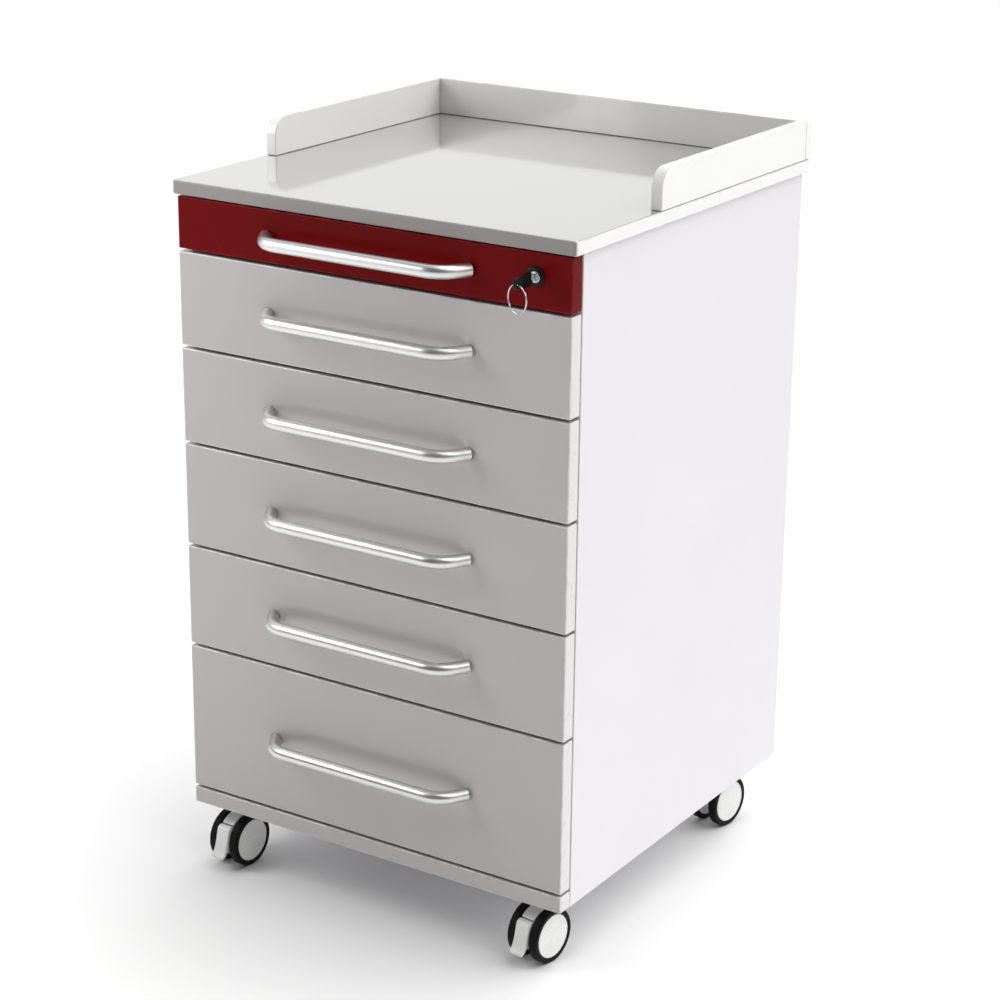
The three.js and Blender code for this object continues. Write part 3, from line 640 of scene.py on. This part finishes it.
def roller(x0, x1, y, z):
    """A nylon roller about X, with a groove round its middle."""
    width = abs(x1 - x0)
    profile = [(0, 0), (ROLLER_RADIUS - ROLLER_EDGE, 0), (ROLLER_RADIUS, ROLLER_EDGE),
               (ROLLER_RADIUS, 0.4 * width), (ROLLER_RADIUS - ROLLER_GROOVE, 0.5 * width),
               (ROLLER_RADIUS, 0.6 * width), (ROLLER_RADIUS, width - ROLLER_EDGE),
               (ROLLER_RADIUS - ROLLER_EDGE, width), (0, width)]
    across = Matrix.Translation((min(x0, x1), y, z)) @ Matrix.Rotation(math.pi / 2, 4, "Y")
    return moved(turned(profile, 32), across)


def make_runners(number):
    """The cabinet's rails, each with a front roller, and the drawer's rails, each with a rear one."""
    box_low, box_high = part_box(f"drawer_box_{number}")
    floor = OPENINGS[f"drawer_{number}_interior"][0][2] - BOX_SLACK - BOX_FLOOR
    bottom = floor - RAIL_BELOW
    body = f"drawer_{number}"
    for side, sign in (("left", -1), ("right", 1)):
        node = f"runner_{side}_{number}"
        low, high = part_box(node)
        wall = max(abs(low.x), abs(high.x))
        web = wall - RAIL_SHEET
        top = high.z
        section = [(wall, bottom), (wall, top), (RAIL_LIP, top), (RAIL_LIP, top - RAIL_SHEET),
                   (web, top - RAIL_SHEET), (web, bottom + RAIL_SHEET), (RAIL_LIP, bottom + RAIL_SHEET),
                   (RAIL_LIP, bottom)]
        points = [(sign * x, z) for x, z in section]
        front, back = low.y + RAIL_START, high.y
        rail = moved(extruded(points, front, back), OUTLINE_ALONG_Y)
        roller_y = low.y + FRONT_ROLLER_BACK
        roller_z = floor - FRONT_ROLLER_BELOW
        plate = block((min(sign * web, sign * wall), low.y, roller_z - PLATE_BELOW),
                      (max(sign * web, sign * wall), front - GAP, top))
        channel = joined(rounded(rail, SHEET_EDGE, 1), rounded(plate, SHEET_EDGE, 1))
        mesh_piece(f"{node}_rail", channel, COATED_STEEL, "cabinet", [node])
        ends = (sign * ROLLER_INNER, sign * ROLLER_OUTER)
        mesh_piece(f"{node}_roller", roller(*ends, roller_y, roller_z), WHITE_NYLON, "cabinet")
        # the drawer's own rail: an angle under the side wall
        base = floor - RAIL_SHEET
        rise = floor + MEMBER_RISE
        turn_up = MEMBER_INNER + MEMBER_SHEET
        angle = [(MEMBER_INNER, base), (MEMBER_OUTER, base), (MEMBER_OUTER, base + MEMBER_SHEET),
                 (turn_up, base + MEMBER_SHEET), (turn_up, rise), (MEMBER_INNER, rise)]
        points = [(sign * x, z) for x, z in angle]
        member = extruded(points, box_low.y + MEMBER_FRONT, box_high.y - MEMBER_BACK)
        member = rounded(moved(member, OUTLINE_ALONG_Y), SMALL_EDGE, 1)
        mesh_piece(f"drawer_rail_{side}_{number}", member, COATED_STEEL, body)
        rear_y = box_high.y - REAR_ROLLER_INSET
        rear_z = bottom + RAIL_SHEET + REAR_ROLLER_RISE
        mesh_piece(f"drawer_roller_{side}_{number}", roller(*ends, rear_y, rear_z), WHITE_NYLON, body)


# ---------------------------------------------------------------- lock and key


def make_key(matrix):
    """A key hanging from its hole: a moulded head and a grooved steel blade, flat across X."""
    head = [(-3, -22.5), (3, -22.5)]
    head += arc((4.6, -20.2), 2.3, -75, 8, 5)
    head += [(6.4, -10), (5.6, -1)]
    head += arc((1.8, 1.8), 3.7, 5, 175, 12)[0:7]
    mirrored = [(-y, z) for y, z in reversed(head)]
    outline = in_mm(head + mirrored[:-2])
    place = matrix @ ALONG_X
    moulded = rounded(extruded(outline, -KEY_HALF, KEY_HALF), KEY_EDGE, 3)
    piece = mesh_piece("key_head", moved(moulded, place), BLACK_PLASTIC, "key", ["key"])
    cut(piece, moved(drill(KEY_HOLE, KEY_DRILL_REACH, 32), place))
    blade = [(-4.6, -22.7), (-4.6, -26.5), (-2.6, -26.5), (-2.6, -29), (-2.1, -30.2), (-2.6, -31.5),
             (-2.6, -33), (-1.7, -34.2), (-2.6, -35.8), (-2.6, -37.5), (-2.0, -38.7), (-2.6, -40),
             (-2.6, -42.5), (-1, -44), (2.6, -41.5), (2.6, -26.5), (4.6, -26.5), (4.6, -22.7)]
    flat = rounded(extruded(in_mm(blade), -BLADE_HALF, BLADE_HALF), BLADE_EDGE, 1)
    steel = mesh_piece("key_blade", moved(flat, place), BRIGHT_STEEL, "key")
    groove = block((0.5 * MM, 0.3 * MM, -50 * MM), (2 * MM, 1.2 * MM, -24 * MM))
    cut(steel, moved(groove, matrix))


def make_lock():
    centre = Vector(JOINTS["key_turn"]["pos_m"])
    at_lock = Matrix.Translation(centre) @ ALONG_Y
    # heights run back into the cabinet from the drawer front's face
    collar = [(6.3, -2.2), (6.9, -2.8)] + arc((8.6, -1.4), 1.4, -90, 0, 6)
    collar += [(10, -0.2), (8.1, -0.2), (8.1, 26), (6.3, 26)]
    ring = moved(ring_turned(in_mm(collar), 64), at_lock)
    mesh_piece("lock_collar", ring, BLACK_PLASTIC, "drawer_1", ["lock_housing"])
    nut = [(8.4, 19.2), (11.5, 19.2), (12, 19.6), (12, 22.4), (11.5, 22.8), (8.4, 22.8)]
    hexagon = moved(ring_turned(in_mm(nut), 6), at_lock)
    mesh_piece("lock_nut", hexagon, BRIGHT_STEEL, "drawer_1")
    barrel = [(0, -3.2), (5.4, -3.2), (5.9, -2.7), (5.9, 28.8), (0, 28.8)]
    cylinder = moved(turned(in_mm(barrel), 48), at_lock)
    plug = mesh_piece("lock_plug_face", cylinder, BRIGHT_STEEL, "key", ["lock_plug"])
    cut(plug, block(centre + Vector((-1.3, -5, -3.1)) * MM, centre + Vector((1.3, 13, 3.1)) * MM))
    low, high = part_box("lock_cam")
    cam = arc((0, 0), 5.5, 90, 270, 12) + arc((13.5, 0), 4.5, -90, 90, 10)
    bar = rounded(extruded(in_mm(cam), 0, high.y - low.y), SMALL_EDGE, 1)
    at_cam = Matrix.Translation((centre.x, low.y, centre.z)) @ OUTLINE_ALONG_Y
    mesh_piece("lock_cam_bar", moved(bar, at_cam), BRIGHT_STEEL, "key", ["lock_cam"])
    swing = JOINTS["key_ring_swing"]
    top = Vector(swing["pos_m"])
    make_key(Matrix.Translation(top + Vector((0, 0, KEY_HANG))) @ Matrix.Rotation(math.pi / 2, 4, "X"))
    hanging = Matrix.Rotation(math.atan2(swing["axis"][1], swing["axis"][0]), 4, "Z")
    low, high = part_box("key_ring")
    radius = (high.z - low.z) / 2 - RING_INSET
    middle = top - Vector((0, 0, radius))
    coils = []
    for i in range(RING_STEPS + 1):
        share = i / RING_STEPS
        angle = math.radians(RING_COIL_START + RING_COIL_TURN * share)
        across = (share - 0.5) * RING_COIL_WIDTH
        offset = Vector((radius * math.cos(angle), across, radius * math.sin(angle)))
        coils.append(middle + hanging @ offset)
    wire = swept(coils, RING_WIRE, 12)
    mesh_piece("split_ring", wire, BRIGHT_STEEL, "key_ring", ["key_ring"], 60)


# ---------------------------------------------------------------- casters


def make_wheel(name, side, matrix):
    """A wheel about the local X axis: a tyre with round shoulders, a disc and a domed cap."""
    node = f"caster_{name}_wheel_{side}"
    place = matrix @ (Matrix.Rotation(math.pi, 4, "Z") if side == "left" else Matrix.Identity(4))
    lying = place @ Matrix.Rotation(math.pi / 2, 4, "Y")
    inner, outer, tread, seat = 9.0, 19.5, 30.0, 24.2
    shoulder = 2.2
    tyre = [(seat, inner + 0.4)] + arc((tread - shoulder, inner + shoulder), shoulder, -90, 0, 6)
    tyre += arc((tread - shoulder, outer - shoulder), shoulder, 0, 90, 6)
    tyre += [(seat + 0.9, outer), (seat + 0.3, outer - 0.5), (seat, outer - 1.2)]
    rubber = moved(ring_turned(in_mm(tyre), 96), lying)
    mesh_piece(f"{node}_tyre", rubber, TYRE, node, [node], 40)
    disc = [(3.3, inner + 1.6), (6.5, inner + 1.6), (6.5, inner + 0.6), (9, inner + 0.6), (9, inner + 3),
            (20.5, inner + 3), (20.5, inner + 0.8), (seat - 0.2, inner + 0.8), (seat - 0.2, outer - 2.2),
            (3.3, outer - 2.2)]
    mesh_piece(f"{node}_disc", moved(ring_turned(in_mm(disc), 72), lying), GREY_NYLON, node)
    cap = [(0, outer - 2), (seat - 0.25, outer - 2), (seat - 0.25, outer - 0.9), (seat - 0.7, outer - 0.35),
           (22.8, outer - 0.3), (22.2, outer - 0.75)]
    cap += [(r, outer - 0.2 - 0.6 * (r / 21.8) ** 2) for r in (21.8, 19, 16, 12, 8, 4, 0)]
    mesh_piece(f"{node}_cap", moved(turned(in_mm(cap), 96), lying), CAP_NYLON, node, (), 35)


def make_caster(name):
    swivel = Vector(JOINTS[f"caster_{name}_swivel"]["pos_m"])
    roll = JOINTS[f"caster_{name}_wheel_right_roll"]
    turn = math.atan2(roll["axis"][1], roll["axis"][0])
    body = f"caster_{name}"
    local = Matrix.Translation((swivel.x, swivel.y, 0)) @ Matrix.Rotation(turn, 4, "Z")
    axle = local @ Matrix.Translation((0, AXLE_BACK * MM, AXLE_HEIGHT * MM))
    make_wheel(name, "left", axle)
    make_wheel(name, "right", axle)
    brake = f"caster_{name}_pedal" in frame["nodes"]
    crown = CROWN_BRAKED if brake else CROWN_PLAIN
    outline = arc((AXLE_BACK, AXLE_HEIGHT), HOUSING_RADIUS, crown, 30, 28)
    outline += arc((AXLE_BACK, AXLE_HEIGHT), HOUSING_CUT, 0, -150, 14)
    outline += [(-33.5, 36), (-33.8, 47.5)] if brake else [(-30, 28)]
    shell = rounded(extruded(in_mm(outline), -HOUSING_HALF, HOUSING_HALF), HOUSING_EDGE, 3)
    mesh_piece(f"{body}_housing", moved(moved(shell, ALONG_X), local), GREY_NYLON, body,
               [f"{body}_body"])
    top = (swivel.z - STEM_GAP) / MM
    boss = [(0, 54), (8, 54), (8, top - 7)] + arc((14, top - 4.6), 1.4, -90, 0, 5)
    boss += [(15.4, top - 1), (15, top), (0, top)]
    bearing = moved(turned(in_mm(boss), 64), local)
    mesh_piece(f"{body}_bearing", bearing, GREY_NYLON, body)
    stem = [(0, top - 4), (5, top - 4), (5, top + 14.5), (4.4, top + 15.2), (4.4, top + 16), (0, top + 16)]
    post = moved(turned(in_mm(stem), 40), local)
    mesh_piece(f"{body}_stem", post, BRIGHT_STEEL, body)
    shaft = [(0, -15.2), (2.6, -15.2), (3, -14.8), (3, 14.8), (2.6, 15.2), (0, 15.2)]
    pin = moved(turned(in_mm(shaft), 32), axle @ Matrix.Rotation(math.pi / 2, 4, "Y"))
    mesh_piece(f"{body}_axle", pin, BRIGHT_STEEL, body)
    if brake:
        make_pedal(name, local)


def make_pedal(name, local):
    """A brake pedal: a knuckle at its pivot, and a tongue that slopes out to its tip."""
    node = f"caster_{name}_pedal"
    outline = arc((-41, 45.5), 6, -60, 158, 18)
    outline += [(-48.3, 40), (-49.8, 34), (-51.5, 28.5), (-54.2, 23.5), (-57.4, 19.8), (-57.8, 17.8),
                (-56.4, 16.6), (-51, 19.5), (-47.2, 25), (-45, 31)]
    tongue = rounded(extruded(in_mm(outline), -HOUSING_HALF, HOUSING_HALF), PEDAL_EDGE, 3)
    lever = moved(moved(tongue, ALONG_X), local)
    mesh_piece(f"{node}_lever", lever, GREY_NYLON, node, [node])


# ---------------------------------------------------------------- floor, light and camera


def make_stage():
    mesh = bpy.data.meshes.new("floor")
    reach = 40.0
    mesh.from_pydata([(-reach, -reach, 0), (reach, -reach, 0), (reach, reach, 0), (-reach, reach, 0)], [],
                     [(0, 1, 2, 3)])
    floor = bpy.data.objects.new("floor", mesh)
    bpy.context.scene.collection.objects.link(floor)
    material = bpy.data.materials.new("floor")
    nodes = Nodes(material)
    nodes.join(nodes.mixed(nodes.noise(1.5), (0.90, 0.90, 0.895), (0.92, 0.92, 0.92)),
               nodes.shader.inputs["Base Color"])
    nodes.join(nodes.ranged(nodes.noise(30.0), 0.65, 0.75), nodes.shader.inputs["Roughness"])
    mesh.materials.append(material)


def add_light(name, place, target, size, power):
    data = bpy.data.lights.new(name, "AREA")
    data.shape = "RECTANGLE"
    data.size, data.size_y = size
    data.energy = power
    light = bpy.data.objects.new(name, data)
    light.location = place
    light.rotation_euler = (Vector(target) - Vector(place)).to_track_quat("-Z", "Y").to_euler()
    bpy.context.scene.collection.objects.link(light)


def make_world():
    """A soft surround that is dim in front of the drawers and bright behind the cabinet."""
    world = bpy.data.worlds.new("surround")
    bpy.context.scene.world = world
    world.use_nodes = True
    tree = world.node_tree
    background = tree.nodes["Background"]
    coordinates = tree.nodes.new("ShaderNodeTexCoord")
    axes = tree.nodes.new("ShaderNodeSeparateXYZ")
    tree.links.new(coordinates.outputs["Generated"], axes.inputs[0])
    shade = tree.nodes.new("ShaderNodeMapRange")
    shade.interpolation_type = "SMOOTHSTEP"
    shade.inputs["From Min"].default_value = SURROUND_TURN[0]
    shade.inputs["From Max"].default_value = SURROUND_TURN[1]
    shade.inputs["To Min"].default_value = SURROUND_FRONT
    shade.inputs["To Max"].default_value = SURROUND_BACK
    tree.links.new(axes.outputs["Y"], shade.inputs["Value"])
    tree.links.new(shade.outputs["Result"], background.inputs["Strength"])
    background.inputs["Color"].default_value = (1, 1, 1, 1)


def make_lights():
    """Soft daylight from high on the right, a lamp at the front left, and a wide dim light behind."""
    data = bpy.data.lights.new("daylight", "SUN")
    data.energy = DAYLIGHT_STRENGTH
    data.angle = math.radians(DAYLIGHT_ANGLE)
    daylight = bpy.data.objects.new("daylight", data)
    daylight.rotation_euler = Vector(DAYLIGHT_HEADING).to_track_quat("-Z", "Y").to_euler()
    bpy.context.scene.collection.objects.link(daylight)
    add_light("left_front", (-0.9, -0.85, 1.15), (-0.2, -0.26, 0.6), (0.6, 0.8), 8)
    add_light("back_wall", (-1.0, 1.7, 1.45), (0.0, 0.0, 0.78), (2.6, 1.5), 2.5)


def make_camera():
    data = bpy.data.cameras.new("camera")
    data.lens = CAMERA_LENS
    data.sensor_width = CAMERA_SENSOR
    camera = bpy.data.objects.new("camera", data)
    heading = Matrix.Rotation(CAMERA_YAW, 4, "Z") @ Matrix.Rotation(math.pi / 2 - CAMERA_PITCH, 4, "X")
    camera.matrix_world = Matrix.Translation(CAMERA_PLACE) @ heading @ Matrix.Rotation(CAMERA_ROLL, 4, "Z")
    bpy.context.scene.collection.objects.link(camera)
    bpy.context.scene.camera = camera


make_camera()
make_worktop()
make_carcass()
for drawer in DRAWERS:
    make_front(drawer)
    make_handle(drawer)
    make_box(drawer)
    make_runners(drawer)
make_lock()
for caster in CASTERS:
    make_caster(caster)
make_stage()
make_world()
make_lights()
bpy.context.scene.view_settings.view_transform = "Standard"
